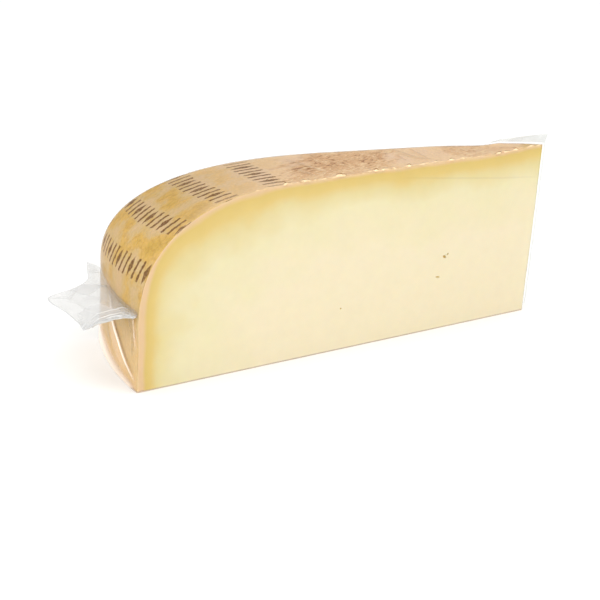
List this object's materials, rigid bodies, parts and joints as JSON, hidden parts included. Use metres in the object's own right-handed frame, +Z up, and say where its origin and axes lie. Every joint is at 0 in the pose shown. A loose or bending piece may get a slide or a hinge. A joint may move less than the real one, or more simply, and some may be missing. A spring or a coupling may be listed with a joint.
{
  "type": "cheese wedge",
  "caption": "Wedge of aged goat gouda from the upper half of a round-sided wheel, in a tight clear film pack with a seam flap at the heel.",
  "frame": {"origin": "on the level foot face, midway along the foot of the near upright cut and 14 mm behind that cut", "axes": "+X along the near cut towards the tip, -Y out of the near cut, +Z up from the foot face"},
  "size_m": [0.1518, 0.0491, 0.0539],
  "materials": {
    "cheese": "pale cream paste, tan rind",
    "film": "clear gloss"
  },
  "bodies": {
    "root": {"cheese_wedge": "cheese", "film_seam_flap": "film", "film_tip_ear": "film"}
  },
  "joints": []
}
